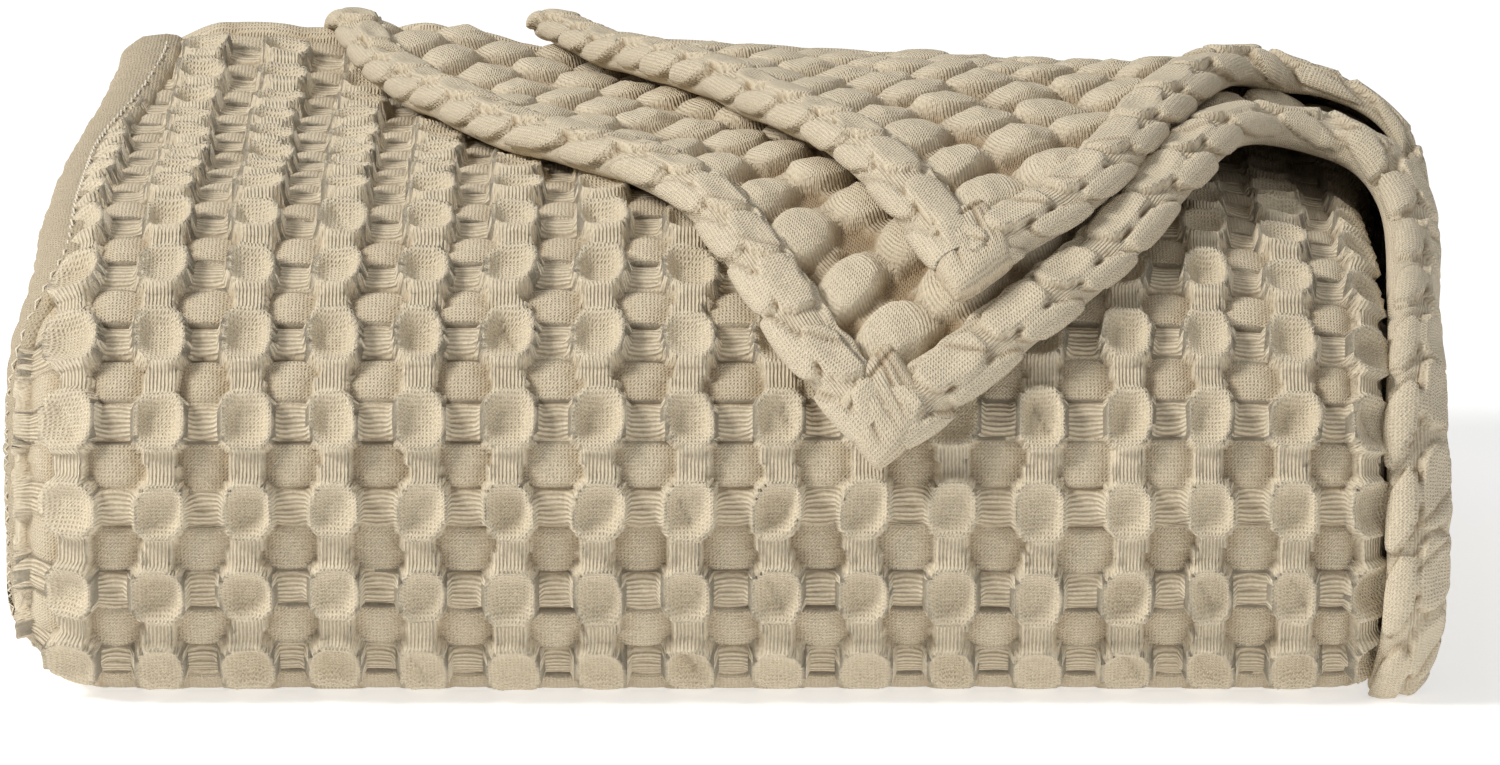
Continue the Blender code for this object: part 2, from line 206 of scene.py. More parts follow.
def tubeFaces(rows, columns):
    # quads round a tube, and those that close its first and its last end
    ring = np.arange(rows * columns).reshape(rows, columns)
    ring[:, -1] = ring[:, 0]
    caps = []
    for loop in (ring[0, :-1], ring[-1, :-1]):
        caps.append(np.array([[loop[k], loop[k + 1], loop[-2 - k], loop[-1 - k]]
                              for k in range(columns // 2 - 1)]))
    return ring.ravel()[gridFaces(rows, columns)], caps[0], caps[1][:, ::-1]


def link(obj):
    bpy.context.scene.collection.objects.link(obj)
    return obj


def clothObject(name, points, faces, weave, zone, normals=None):
    # weave holds millimetres along the yarns, zone holds ribs, floats and painted shade
    used, faces = np.unique(faces, return_inverse=True)
    mesh = bpy.data.meshes.new(name)
    mesh.vertices.add(len(used))
    mesh.vertices.foreach_set("co", points.reshape(-1, 3)[used].astype(np.float32).ravel())
    mesh.loops.add(faces.size)
    mesh.loops.foreach_set("vertex_index", faces.astype(np.int32).ravel())
    mesh.polygons.add(faces.size // 4)
    mesh.polygons.foreach_set("loop_start", np.arange(0, faces.size, 4, dtype=np.int32))
    mesh.update(calc_edges=True)
    for label, values in (("weave", weave), ("zone", zone)):
        layer = mesh.attributes.new(label, "FLOAT_VECTOR", "POINT")
        layer.data.foreach_set("vector", values.reshape(-1, 3)[used].astype(np.float32).ravel())
    mesh.shade_smooth()
    if normals is not None:
        mesh.normals_split_custom_set_from_vertices(normals.reshape(-1, 3)[used].tolist())
    return link(bpy.data.objects.new(name, mesh))


# the face of the weave: chains of dished medallions, joined by ribbed necks and crossed by floats
waffle = {
    "across": 0.02415,  # from chain to chain
    "along": 0.0244,  # from medallion to medallion
    "firstChain": -0.181,
    "firstRow": -0.0022,
    "floor": -0.0038,  # how deep the ground lies between the chains
    "wide": 0.312,  # half width of a medallion, as a share of a cell
    "tall": 0.350,
    "rim": 0.0036,
    "dishDepth": 0.0038,
    "neckHeight": 0.0012,
    "padWide": 0.330,  # half width of the sunken pad between two chains
    "padTall": 0.272,
    "padHeight": -0.0010,
}
# the reverse of the weave, on the turned-over sheets
reverse = {
    "across": 0.0245,
    "along": 0.0215,
    "start": 0.85,  # cells from a sheet's tip to its first pad
    "sideStart": (0.190, 0.030),  # the face shows where a sheet hangs at the right
    "sidePitch": (0.0245, 0.0240),
    "wide": 0.445,
    "tall": 0.385,
    "plump": 0.0018,
    "fanHeight": 0.0003,
    "ribHeight": -0.0026,
    "floor": -0.0047,
}
yarnScale = 24  # millimetres of cloth in a cell


def softMax(levels, softness=0.0003):
    levels = np.stack(levels)
    top = levels.max(axis=0)
    return top + softness * np.log(np.exp((levels - top) / softness).sum(axis=0))


def waffleFace(cu, cv):
    # height, yarn count and zone of the face, at a place counted in cells
    cu = cu + 0.045 * waves(cu, cv, 1, 5.0)
    cv = cv + 0.040 * waves(cu, cv, 2, 4.6)
    i, j = np.round(cu), np.round(cv)
    a, b = cu - i, cv - j

    def vary(seed):
        return cellNoise(i, j, seed) - 0.5

    a = a + 0.20 * vary(8) * b - 0.03 * vary(3)
    sideways, upright = np.abs(a), np.abs(b)
    wide = waffle["wide"] * (1 + 0.14 * vary(1))
    tall = waffle["tall"] * (1 + 0.12 * vary(2))
    floor = waffle["floor"]
    round1 = ((sideways / wide) ** 2.9 + (upright / tall) ** 2.5) ** (1 / 2.7)
    lean = 0.0055 * vary(4) * a + 0.004 * vary(5) * b
    depth = waffle["dishDepth"] * (0.75 + 0.5 * cellNoise(i, j, 9))
    dish = waffle["rim"] - depth * (1 - smooth(0.34, 0.93, round1)) + lean
    crease = vary(6) > 0.30
    bend = np.exp(-((a + vary(7) * 0.2 + b * 0.5) ** 2) / 0.0016)
    dish = dish - crease * 0.0014 * bend * (1 - smooth(0.5, 0.9, round1))
    dish = dish + 0.0006 * bell(round1 - 0.93, 0.06)
    medallion = sink(dish, floor, 0.98, 1.12, round1)
    inside = 1 - smooth(0.70, 0.92, round1)
    # the ribbed neck between two medallions of a chain
    neck = waffle["neckHeight"] - 0.0006 * smooth(0.30, 0.42, upright)
    neck = neck + 0.0010 * bell(sideways - 0.160, 0.020)
    neck = sink(neck, floor, 0.170, 0.206, sideways)
    neck = neck + (floor - neck) * inside
    # the bar of floats between two chains
    gap = np.abs(0.5 - sideways)
    middle = np.clip(1 - (gap / 0.3) ** 2, 0, 1)
    slit = bell(b, 0.035) * middle ** 2 * (cellNoise(np.floor(cu), j, 10) > 0.35)
    bar = 0.0001 - 0.0009 * middle - 0.0010 * (b / 0.2) ** 2 - 0.0009 * slit
    bar = sink(bar, floor, 0.195, 0.240, upright)
    bar = bar + (floor - bar) * inside
    pad = np.abs(0.5 - upright)
    round2 = ((gap / waffle["padWide"]) ** 6 + (pad / waffle["padTall"]) ** 6) ** (1 / 6)
    pillow = waffle["padHeight"] - 0.0020 * (gap / 0.32) ** 2 - 0.0004 * (pad / 0.268) ** 2
    pillow = pillow + 0.0008 * (cellNoise(np.floor(cu), np.floor(cv), 14) - 0.5)
    pillow = sink(pillow, floor, 0.95, 1.06, round2)
    height = softMax([medallion, neck, bar, pillow])
    beside = smooth(0.92, 1.04, round1)
    rib = beside * (1 - smooth(0.17, 0.21, sideways))
    floats = beside * (1 - rib) * (1 - smooth(0.20, 0.25, upright))
    # painted shade: darker the lower the relief lies, and in the slits of the floats
    deep = np.clip((-0.0004 - height) / 0.0034, 0, 1) ** 1.3
    deep = np.maximum(deep, 0.35 * slit)
    threads = np.where(floats > 0.02, b / (1 + 0.50 * middle), cv)
    return height, threads, np.stack([rib, floats, deep], axis=-1)


def waffleBack(cu, cv):
    # the reverse: plump pads with fans of float yarn at their ends and holes between, darkened with painted
    # shade
    cu = cu + 0.07 * waves(cu, cv, 3, 4.4)
    cv = cv + 0.07 * waves(cu, cv, 4, 5.0)
    i, j = np.round(cu), np.round(cv)
    a, b = cu - i, cv - j

    def vary(seed):
        return cellNoise(i, j, seed) - 0.5

    turn = 0.5 * vary(15)
    a, b = a + turn * b - 0.08 * vary(16), b - turn * a - 0.08 * vary(17)
    sideways, upright = np.abs(a), np.abs(b)
    wide = reverse["wide"] * (1 + 0.20 * vary(11))
    tall = reverse["tall"] * (1 + 0.22 * vary(12))
    floor = reverse["floor"]
    round1 = ((sideways / wide) ** 2.2 + (upright / tall) ** 2.4) ** (1 / 2.3)
    plump = reverse["plump"] * (0.55 + 0.90 * cellNoise(i, j, 13))
    lean = 0.0050 * vary(18) * a + 0.0050 * vary(19) * b
    pad = plump + lean - 0.0019 * round1 ** 3
    pad = sink(pad, floor, 0.94, 1.20, round1)
    fanLevel = reverse["fanHeight"] - 0.0080 * (sideways - 0.30) - 0.010 * b * b
    fanLevel = sink(fanLevel, floor, 0.22, 0.34, upright)
    ribLevel = sink(reverse["ribHeight"], floor, 0.16, 0.26, sideways)
    height = softMax([pad, fanLevel, ribLevel])
    fan = smooth(0.20, 0.30, sideways) * (1 - smooth(0.26, 0.36, upright))
    ribs = smooth(0.80, 1.0, round1) * (1 - smooth(0.16, 0.26, sideways))
    # painted shade, darker the lower the relief lies
    deep = np.clip((0.0004 - height) / 0.0056, 0, 1)
    return height, sideways + 0.9 * b * b, np.stack([ribs, fan, deep], axis=-1)


def leftEdge(length):
    drawn = 0.027 * smooth(0.030, 0.090, length) + 0.014 * smooth(0.180, 0.300, length) - 0.011
    drawn = drawn + 0.036 * smooth(-0.066, -0.100, length)  # on the floor it lies in under the pile
    return pile["leftFlat"] - pile["leftRadius"] * quarter + drawn


hemWidth = 0.0185
plyEnd = 0.3125  # where the ply's top hem starts, at the back


def coverShare(across, length):
    # 1 where the lower loose sheet lies on the ply, 0 outside
    edges = [*lowerLayer["left"][::-1], *lowerLayer["right"][1:]]
    edges += [(0.300, 0.030), (0.300, 0.330), (-0.130, 0.330)]
    total = 0
    shifts = [(0, 0), (0.006, 0), (-0.006, 0), (0, 0.006), (0, -0.006)]
    for right, up in shifts:
        total = total + insideOutline(across + right, length + up, edges)
    return total / len(shifts)


def outerPly():
    settings = {
        "fineStep": 0.00122,
        "topStep": 0.0019,
        "underStep": 0.010,
        "columns": 324,
        "rightDrop": 0.030,
        "frontStart": -0.086,
        "topStart": 0.150,
    }
    rows = np.concatenate([
        np.arange(underEnd + hemWidth, settings["frontStart"], settings["underStep"]),
        np.arange(settings["frontStart"], settings["topStart"], settings["fineStep"]),
        np.arange(settings["topStart"], plyEnd, settings["topStep"]),
    ])
    share = np.linspace(0, 1, settings["columns"])
    inner = leftEdge(rows) + hemWidth - 0.004
    outer = pile["rightFlat"] + pile["rightRadius"] * quarter + settings["rightDrop"]
    across = inner[:, None] + (outer - inner[:, None]) * share
    length = np.repeat(rows[:, None], len(share), axis=1)
    squeezed = 0.15 * smooth(0.10, 0.15, across) + 0.09 * smooth(0.155, 0.175, across)
    cu = (across - waffle["firstChain"]) / waffle["across"] + squeezed
    cv = (length - waffle["firstRow"]) / waffle["along"]
    height, threads, zone = waffleFace(cu, cv)
    height = height * (1 - 0.55 * smooth(0.172, 0.188, across))
    height = height * (1 - smooth(0.290, 0.311, length))
    covered = coverShare(across, length)
    height = height * (1 - 0.5 * covered)
    worn = smooth(-0.100, -0.085, length)
    edge = smooth(0, 0.006, across - inner[:, None])
    height = height * (0.25 + 0.75 * worn) * (0.4 + 0.6 * edge)
    height = height + 0.0012 * waves(across, length, 5, 0.11)
    hollow = np.exp(-(((across - 0.152) / 0.030) ** 2 + ((length - 0.118) / 0.034) ** 2))
    height = height - 0.0035 * hollow  # under the arch of the hanging sheets
    shoulder = smooth(0.165, 0.200, length) * smooth(0.158, 0.176, across)
    height = height + 0.0050 * shoulder  # it fills out under the sheets at the top right
    height = height * (1 - 0.7 * smooth(-0.195, -0.206, across))
    # the cloth flattens and flares where it turns under on the floor
    pressed = 1 - smooth(0.0, 0.010, np.interp(length, outlineArc, outline[:, 1]))
    height = height * (1 - 0.8 * pressed)
    height = np.where(length < -0.06, np.minimum(height, 0.004 * (1 - pressed)), height)
    points = keepAbove(drape(across, length, height), 0.0002)
    weave = np.stack([cu, cv, threads], axis=-1) * yarnScale
    obj = clothObject("outerPly", points, gridFaces(*across.shape), weave, zone)
    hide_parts("outer_ply")
    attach(obj, "stack")
    return obj, (0.410, float(rows[-1] - rows[0]))


# routes of the rolled hems as across and up from the waist; past the right edge, across runs down the side
lowerLayer = {
    "tip": (0.040, 0.012),
    "lift": 0.0096,
    "tuckIn": -0.0006,  # how much nearer the pile it hangs at the right
    "crease": 0.040,
    "inset": 0.0062,
    "facing": 1.1,
    "forward": (-0.0014, -0.0034, 0.0),  # how far its hanging hem comes forward
    "sideNarrowing": -0.15,
    "left": [(0.040, 0.012), (0.015, 0.040), (-0.012, 0.090), (-0.040, 0.128), (-0.070, 0.168),
             (-0.094, 0.222), (-0.112, 0.275), (-0.122, 0.322)],
    "right": [(0.040, 0.012), (0.059, 0.024), (0.081, 0.041), (0.106, 0.065), (0.126, 0.096),
              (0.142, 0.124), (0.155, 0.140), (0.167, 0.146), (0.177, 0.138), (0.184, 0.118),
              (0.188, 0.095), (0.191, 0.072), (0.197, 0.053), (0.208, 0.040), (0.226, 0.032),
              (0.268, 0.030)],
    "backEnd": 0.318,
    "alongLeft": 124.6,
    "alongRight": 44.3,
}
upperLayer = {
    "tip": (0.062, 0.050),
    "lift": 0.0188,
    "tuckIn": 0.0052,
    "crease": 0.088,
    "inset": 0.0062,
    "facing": 0.0,
    "forward": (-0.0024, 0.0020, 0.0),
    "sideNarrowing": 0.45,
    "left": [(0.062, 0.050), (0.046, 0.075), (0.036, 0.093), (0.018, 0.130), (-0.002, 0.175),
             (-0.024, 0.225), (-0.046, 0.275), (-0.060, 0.312)],
    "right": [(0.062, 0.050), (0.079, 0.062), (0.096, 0.076), (0.112, 0.098), (0.130, 0.140),
              (0.146, 0.172), (0.160, 0.180), (0.172, 0.176), (0.180, 0.158), (0.187, 0.130),
              (0.194, 0.105), (0.202, 0.085), (0.214, 0.068), (0.232, 0.058), (0.290, 0.054)],
    "backEnd": 0.302,
    "alongLeft": 116.0,
    "alongRight": 38.0,
}


def curveThrough(route, step):
    # evenly spaced points on a smooth curve through a route
    knots = np.array(route, float)
    padded = np.vstack([2 * knots[0] - knots[1], knots, 2 * knots[-1] - knots[-2]])
    found = []
    for k in range(1, len(padded) - 2):
        t = np.linspace(0, 1, 40, endpoint=False)[:, None]
        p0, p1, p2, p3 = padded[k - 1:k + 3]
        found.append(0.5 * (2 * p1 + (p2 - p0) * t + (2 * p0 - 5 * p1 + 4 * p2 - p3) * t**2
                            + (3 * p1 - p0 - 3 * p2 + p3) * t**3))
    return evenSteps(np.vstack(found + [knots[-1:]]), step)


def hemAxis(layer, side, step):
    # the middle line of a hem, which lies inside the edge that its route follows
    edge = curveThrough(layer[side], step)
    along = unit(np.gradient(edge, axis=0))
    inward = np.stack([along[:, 1], -along[:, 0]], axis=-1) * (1 if side == "left" else -1)
    share = layer["inset"] * (1 - smooth(0.140, 0.176, edge[:, 0]))
    line = edge + inward * share[:, None]
    return line[int(0.006 / step):]


def hemTurns(layer):
    return math.radians(layer["alongLeft"]), math.radians(layer["alongRight"])


def tipCentre(layer):
    leftTurn, rightTurn = hemTurns(layer)
    between = (leftTurn - rightTurn) / 2
    middle = (leftTurn + rightTurn) / 2
    reach = layer["inset"] / math.sin(between)
    return layer["tip"][0] + reach * math.cos(middle), layer["tip"][1] + reach * math.sin(middle)


def insideOutline(x, y, polygon):
    inside = np.zeros(x.shape, bool)
    for (x0, y0), (x1, y1) in zip(polygon, np.roll(polygon, -1, axis=0)):
        crosses = (y0 > y) != (y1 > y)
        if y1 != y0:
            inside ^= crosses & (x < (x1 - x0) * (y - y0) / (y1 - y0) + x0)
    return inside


def sheetLift(layer, across, length):
    nearer = layer["tuckIn"] * smooth(0.172, 0.190, across)
    nearer = nearer + 0.0070 * smooth(0.172, 0.192, across) * smooth(0.190, 0.270, length)
    backLeft = smooth(0.220, 0.300, length) * (1 - smooth(-0.100, -0.020, across))
    nearer = nearer + 0.30 * layer["lift"] * backLeft
    return layer["lift"] - nearer + bridgeLift(across, length)


def sheetSurface(layer, across, length):
    # weave, height and place of a draped sheet's outer face
    leftTurn, rightTurn = hemTurns(layer)
    basis = [[math.cos(rightTurn), math.cos(leftTurn)], [math.sin(rightTurn), math.sin(leftTurn)]]
    inverse = np.linalg.inv(basis)
    dx, dy = across - layer["tip"][0], length - layer["tip"][1]
    p = (inverse[0, 0] * dx + inverse[0, 1] * dy) / reverse["across"] - reverse["start"]
    q = (inverse[1, 0] * dx + inverse[1, 1] * dy) / reverse["along"] - reverse["start"]
    side = smooth(0.174, 0.182, across)
    onSide = side > 0.5
    sideStart, sidePitch = reverse["sideStart"], reverse["sidePitch"]
    p = np.where(onSide, (across - sideStart[0]) / sidePitch[0], p)
    q = np.where(onSide, (length - sideStart[1]) / sidePitch[1], q)
    height, threads, zone = waffleBack(p, q)
    faceHeight, faceThreads, faceZone = waffleFace(p, q)
    height = np.where(onSide, faceHeight * 0.6, height)
    threads = np.where(onSide, faceThreads, threads)
    zone = np.where(onSide[..., None], faceZone, zone)
    height = height * np.clip(np.abs(side - 0.5) * 2, 0, 1)
    height = height + 0.0014 * waves(across, length, 6, 0.075)
    ending = smooth(layer["backEnd"] - 0.012, layer["backEnd"] - 0.002, length)
    height = height * (1 - ending) - 0.0022 * ending
    points = drape(across, length, sheetLift(layer, across, length) + height, hanging=True)
    points[..., 0] += layer["forward"][0] * smooth(0.170, 0.188, across)
    return points, np.stack([p, q, threads], axis=-1) * yarnScale, zone


def gridNormals(points):
    normals = np.cross(np.gradient(points, axis=1), np.gradient(points, axis=0))
    return normals / np.maximum(np.linalg.norm(normals, axis=-1), 1e-12)[..., None]


def looseSheet(name, layer, step):
    left = hemAxis(layer, "left", 0.004)
    right = hemAxis(layer, "right", 0.004)
    leftPart = left[left[:, 1] < layer["backEnd"]]
    ends = [(0.320, right[-1][1]), (0.320, layer["backEnd"]), (leftPart[-1][0], layer["backEnd"])]
    polygon = np.vstack([leftPart[::-1], right, ends])
    seam = layer["crease"] + 0.010
    lowest = min(left[:, 1].min(), right[:, 1].min())
    below = np.arange(seam, lowest - step, -step)[::-1]
    rows = np.concatenate([below, np.arange(seam + step, layer["backEnd"], step)])
    columns = np.arange(left[:, 0].min() - 0.01, 0.300, step)
    across, length = np.meshgrid(columns, rows)
    keep = insideOutline(across, length, polygon)
    points, weave, zone = sheetSurface(layer, across, length)
    normals = gridNormals(points)
    keep &= points[..., 2] > -0.0020
    keepAbove(points, 0.0006)
    faces = gridFaces(*across.shape)
    faces = faces[keep.ravel()[faces].all(axis=1)]
    centreAcross = across.ravel()[faces].mean(axis=1)
    centreLength = length.ravel()[faces].mean(axis=1)
    corner = (centreAcross < 0.130) & (centreLength < seam)
    parts = []
    for label, chosen in (("Sheet", ~corner), ("CornerSheet", corner)):
        parts.append(clothObject(name + label, points, faces[chosen], weave, zone, normals))
    return parts


# rolled hems: lumpy ropes with tucks across them and a sewn groove along the inside
hemRope = {
    "halfWidth": 0.0092,
    "halfHeight": 0.0062,
    "pitch": 0.0225,
    "step": 0.0010,
    "around": 48,
    "sunk": 0.0012,  # how far the rope's axis lies below the sheet's outer face
    "padAt": 1.72,  # where round the rope the pads, the lumps and the sewn ridge lie
    "lumpAt": 0.36,
    "ridgeAt": 2.55,
}


def hemFace(t, turn, seed):
    # t counts lumps along the hem, turn goes from its outer edge over the top to its inner edge
    turn = turn + 0.10 * waves(t, turn, seed + 9, 1.7)
    k = np.round(t)
    m = np.floor(t + 0.20)

    def chance(place, number):
        return cellNoise(place, 0 * place, seed + number)

    a = t - k - 0.22 * (chance(k, 0) - 0.5) + 0.24 * (turn - 1.7) * (chance(k, 1) - 0.2)
    wide = 0.44 * (1 + 0.22 * (chance(k, 2) - 0.5))
    fromPad = turn - hemRope["padAt"]
    round1 = (np.abs(a / wide) ** 3.0 + np.abs(fromPad / 0.66) ** 3.0) ** (1 / 3.0)
    pad = 0.0009 - 0.0024 * (1 - smooth(0.10, 0.90, round1)) * (0.2 + 0.8 * chance(k, 3))
    pad = sink(pad, -0.0028, 0.94, 1.10, round1)
    neck = -0.0011 - 0.0012 * smooth(0.40, 0.62, np.abs(fromPad))
    b = t + 0.20 - m - 0.5 - 0.20 * (chance(m, 4) - 0.5) + 0.30 * (turn - 0.5)
    long = 0.42 * (1 + 0.30 * (chance(m, 5) - 0.5))
    round2 = (np.abs(b / long) ** 2.4 + np.abs((turn - hemRope["lumpAt"]) / 0.70) ** 2.4) ** (1 / 2.4)
    lump = 0.0016 * (0.5 + 0.9 * chance(m, 6)) - 0.0010 * round2 ** 2
    lump = sink(lump, -0.0030, 0.95, 1.09, round2)
    web = -0.0019 + 0.0005 * np.sin(2 * math.pi * (t * 3.1 + turn * 0.8))
    cord = hemRope["ridgeAt"] + 0.10 * np.sin(2 * math.pi * t + seed) + 0.10 * waves(t, 0 * t, seed + 5, 4.1)
    ridge = 0.0007 - 0.0070 * ((turn - cord) / 0.30) ** 2 + 0.0004 * np.sin(4 * math.pi * t + 1.3 * seed)
    ridge = np.maximum(ridge, -0.0028)
    height = softMax([pad, neck, lump, web, ridge], 0.00018)
    end = 0.5 * wide * np.sign(cellNoise(k, k, seed) - 0.5)
    tuck = bell(a + end + 0.2 * (turn - 1.7), 0.035)
    tuck = tuck * (chance(k, 8) > 0.45) * smooth(0.9, 1.3, turn) * smooth(2.5, 2.1, turn)
    height = height - 0.0009 * tuck
    under = smooth(2.9, 3.3, turn) + smooth(-0.1, -0.6, turn)
    height = height * (1 - under) - 0.0008 * under
    ribs = smooth(0.97, 1.06, round1) * smooth(0.97, 1.06, round2)
    ribs = ribs * smooth(0.7, 0.95, turn) * smooth(2.45, 2.2, turn)
    # painted shade in the crevices round the pads and the lumps, and in the tucks
    padEdge = bell(round1 - 1.05, 0.05) * smooth(-0.0004, -0.0011, height)
    lumpEdge = bell(round2 - 1.05, 0.06) * smooth(-0.0002, -0.0010, height)
    deep = np.clip(0.75 * lumpEdge + 0.45 * padEdge + 0.6 * tuck, 0, 1) * (1 - under)
    return height, ribs, deep


def hemRopes(name, layer, side, cadMain, narrowing):
    # the hem of one side in two pieces: along the loose corner, and over the pile
    route = hemAxis(layer, side, hemRope["step"])
    lift = sheetLift(layer, route[:, 0], route[:, 1]) - hemRope["sunk"]
    lift = lift + 0.0008 * waves(route[:, 0], route[:, 1], len(name), 0.05)
    centres = drape(route[:, 0], route[:, 1], lift, hanging=True)
    turned = smooth(0.170, 0.188, route[:, 0])
    centres = centres + turned[:, None] * np.array(layer["forward"])
    standing = centres[:, 2] > hemRope["halfHeight"] * 0.7
    centres, route, lift = centres[standing], route[standing], lift[standing]
    outward = drape(route[:, 0], route[:, 1], lift + 0.001, hanging=True)
    outward = unit(outward - drape(route[:, 0], route[:, 1], lift, hanging=True))
    facing = turned[standing] * layer["facing"]
    outward = outward + facing[:, None] * np.array([0.0, -1.0, 0.0])  # the hanging hem turns to the front
    tangent = unit(np.gradient(centres, axis=0))
    sideways = unit(np.cross(tangent, outward))
    up = np.cross(sideways, tangent)
    travel = travelled(centres)
    around = np.linspace(0, 2 * math.pi, hemRope["around"] + 1)
    turn = math.pi - around if side == "left" else around
    turn = np.where(turn < -quarter, turn + 2 * math.pi, turn)
    turn = np.where(turn > 3 * quarter, turn - 2 * math.pi, turn)
    seed = {"lower": 21, "upper": 34}[name] + (7 if side == "right" else 0)
    t = travel[:, None] / hemRope["pitch"] + 0 * turn
    t = t + 0.12 * waves(t, 0 * t, seed, 3.3)
    relief, ribs, deep = hemFace(t, turn[None] + 0 * t, seed)
    thin = 1 - narrowing * smooth(0.150, 0.178, route[:, 0])
    thin = thin * (1 - 0.20 * smooth(0.220, 0.300, route[:, 1]))
    swell = 1 + 0.05 * waves(t, 0 * t, seed + 2, 2.6)
    width = hemRope["halfWidth"] * thin[:, None] * swell + relief * 0.8
    height = hemRope["halfHeight"] * thin[:, None] + relief
    points = (centres[:, None] + sideways[:, None] * (width * np.cos(around))[..., None]
              + up[:, None] * (height * np.sin(around))[..., None])
    keepAbove(points, 0.0004)
    normals = gridNormals(points)
    normals[:, -1] = normals[:, 0] = normals[:, 0] + normals[:, -1]
    normals = unit(normals)
    if (normals[:, hemRope["around"] // 4] * up).sum() < 0:
        normals = -normals
    rows, columns = points.shape[:2]
    along = np.repeat(travel[:, None], columns, axis=1) * 1000
    girth = np.broadcast_to(np.where(turn < 3.5, turn, 3.5) * 8.0, along.shape)
    weave = np.stack([along, girth, girth], axis=-1)
    zone = np.stack([0 * ribs, ribs, deep], axis=-1)
    cut = int(np.argmax(route[:, 1] > layer["crease"] + 0.010))
    parts = []
    for label, low, high in (("Corner", 0, cut + 1), ("", cut, rows)):
        sides, firstCap, lastCap = tubeFaces(high - low, columns)
        faces = np.concatenate([sides[:, ::-1], firstCap if label else lastCap])
        obj = clothObject(f"{name}{label}{side.title()}Hem", points[low:high], faces,
                          weave[low:high], zone[low:high], normals[low:high])
        parts.append(obj)
    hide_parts(f"{name}_corner_{side}_hem")
    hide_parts(*cadMain)
    return parts


def blendCorner(obj, layer):
    middle = layer["tip"][0] + 0.015
    lift = layer["lift"]
    start = drape(middle, layer["crease"] + 0.009, lift)
    end = drape(middle, layer["crease"] - 0.009, lift)
    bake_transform(obj)


def cornerTip(name, layer, cadNode, body):
    # the squared corner of the hem: a flat plump block with pressed folds where the two hems cross
    settings = {"size": 0.0113, "count": 57, "above": 0.0060, "below": 0.0050}
    size, count = settings["size"], settings["count"]
    steps = np.sin(np.linspace(-quarter, quarter, count))
    p, q = np.meshgrid(steps, steps)
    leftTurn, rightTurn = hemTurns(layer)
    edge = np.sqrt(np.clip(1 - np.abs(p) ** 6, 0, 1)) * np.sqrt(np.clip(1 - np.abs(q) ** 6, 0, 1))
    folds = 0
    pressed = ((0.10, -0.42, 0.8), (-0.06, 0.02, 0.6), (0.14, 0.40, 1.0), (0.02, 0.66, 0.7))
    for slope, offset, amount in pressed:
        fold = np.exp(-((p - q * slope - offset) ** 2) / 0.0035)
        folds = folds + amount * fold * smooth(-0.75, -0.1, q)
    seam = np.exp(-((q - 0.62 - 0.08 * p) ** 2) / 0.004)
    top = settings["above"] * edge - (0.0010 * folds + 0.0011 * seam) * edge
    top = top + 0.0005 * waves(p, q, 3, 1.1)
    roundP = p * (1 - 0.16 * (q < 0) * q * q)
    roundQ = q * (1 - 0.16 * (p < 0) * p * p)
    centre = tipCentre(layer)
    stretchP, stretchQ = size * (0.10 + roundP), size * (0.10 + roundQ)
    across = centre[0] + stretchP * math.cos(rightTurn) + stretchQ * math.cos(leftTurn)
    length = centre[1] + stretchP * math.sin(rightTurn) + stretchQ * math.sin(leftTurn)
    lift = layer["lift"] - hemRope["sunk"] + 0.0004
    upper = drape(across, length, lift + top)
    lower = drape(across, length, lift - settings["below"] * edge)
    points = np.concatenate([upper.reshape(-1, 3), lower.reshape(-1, 3)])
    faces = gridFaces(count, count)
    faces = np.concatenate([faces, faces[:, ::-1] + count * count])
    # painted shade towards the block's edge and in its pressed folds and seam
    deep = np.clip(1.1 - edge, 0, 1) * 0.35 + 0.65 * np.clip(folds + seam, 0, 1)
    ribs = smooth(0.1, 0.3, q) * smooth(-0.5, -0.3, p) * smooth(0.5, 0.3, p)
    weave = np.stack([p, q, p], axis=-1) * 11  # millimetres from the tip's middle
    zone = np.stack([0 * p, ribs * 0.8, deep], axis=-1)
    obj = clothObject(name, points, faces, np.tile(weave, (2, 1, 1)), np.tile(zone, (2, 1, 1)))
    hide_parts(cadNode)
    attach(obj, body)
    return obj


def flatSection(around):
    # width and height of a flat tube's outline, from -1 to 1
    turn = np.linspace(0, 2 * math.pi, around + 1)
    return [np.sign(part) * np.abs(part) ** 0.75 for part in (np.cos(turn), np.sin(turn))]


def flatHem(name, across, length, lift, deep, inward):
    # a closed flat tube of cloth on the pile, with painted shade in its creases
    points = keepAbove(drape(across, length, lift), 0.0003)
    faces = np.concatenate(tubeFaces(*across.shape))
    if inward:
        faces = faces[:, ::-1]
    weave = np.stack([across, length, length], axis=-1) * 1000
    zone = np.stack([0 * deep, 0 * deep, deep], axis=-1)
    obj = clothObject(name, points, faces, weave, zone)
    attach(obj, "stack")
    return obj


